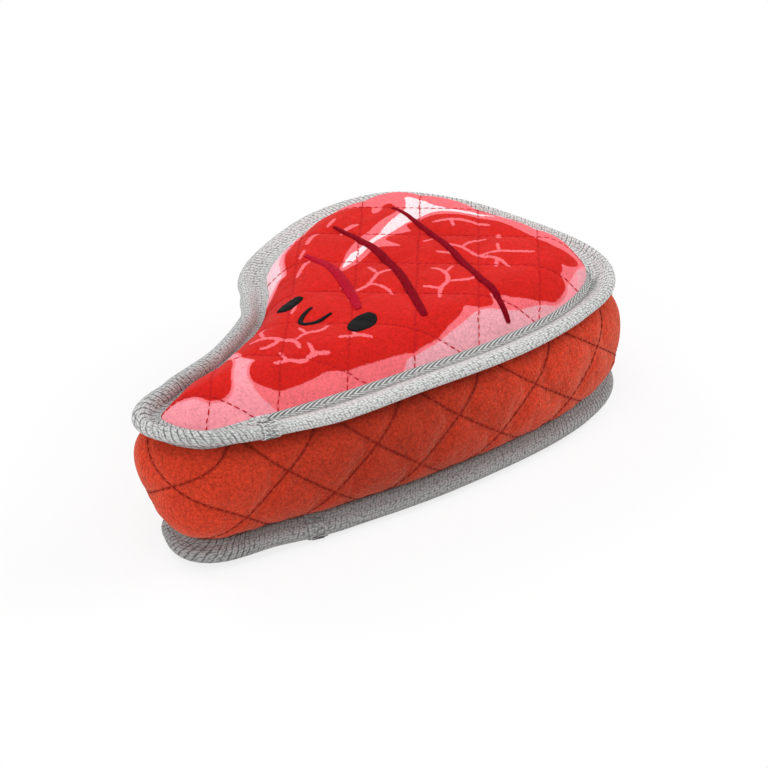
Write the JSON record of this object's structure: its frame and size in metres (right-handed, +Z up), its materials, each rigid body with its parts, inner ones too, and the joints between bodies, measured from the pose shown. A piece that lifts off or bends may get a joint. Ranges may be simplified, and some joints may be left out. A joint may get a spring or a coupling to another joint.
{
  "type": "plush dog toy",
  "caption": "Steak-shaped plush squeaky dog toy: quilted top, side band and underside, folded binding tape on both seams, stitched face, fibre filling and a squeaker with a reed.",
  "frame": {"origin": "on the ground, under the middle of the toy's bounding box", "axes": "+X from the narrow tail to the broad lobe, +Y from the face's front edge to the back, +Z up from the ground on which the underside lies"},
  "size_m": [0.2214, 0.1424, 0.0654],
  "materials": {
    "printed_plush": "short printed plush, quilted",
    "rust_plush": "short rust-red plush, quilted",
    "backing": "thin unwoven cloth",
    "webbing": "grey twill tape",
    "black_thread": "black satin stitching",
    "maroon_thread": "maroon satin stitching",
    "fibre": "white polyester fibre",
    "soft_plastic": "soft milky polyethylene",
    "reed_plastic": "hard white plastic",
    "reed_film": "thin stiff film"
  },
  "bodies": {
    "toy": {"top_panel": "printed_plush", "top_backing": "backing", "side_band": "rust_plush", "side_backing": "backing", "bottom_panel": "rust_plush", "bottom_backing": "backing", "top_binding": "webbing", "bottom_binding": "webbing", "fibre_fill_lower": "fibre", "fibre_fill_upper": "fibre", "right_eye": "black_thread", "left_eye": "black_thread", "smile": "black_thread", "sear_mark_tail": "maroon_thread", "sear_mark_middle": "maroon_thread", "sear_mark_lobe": "maroon_thread", "squeaker_bellows": "soft_plastic"},
    "reed_unit": {"reed_plug": "reed_plastic", "reed_bed": "reed_plastic"},
    "reed": {"reed_tongue": "reed_film"}
  },
  "joints": [
    {"name": "squeaker_squeeze", "type": "slide", "parent": "toy", "child": "reed_unit", "axis": [0, 0, -1], "range_m": [0, 0.008], "stiffness_N_per_m": 600, "deforming": ["squeaker_bellows"]},
    {"name": "reed_flutter", "type": "hinge", "parent": "reed_unit", "child": "reed", "pos_m": [0.02977, 0.00141, 0.03755], "axis": [-1, 0, 0], "range_deg": [-1.5, 3], "stiffness_Nm_per_rad": 0.0001}
  ]
}
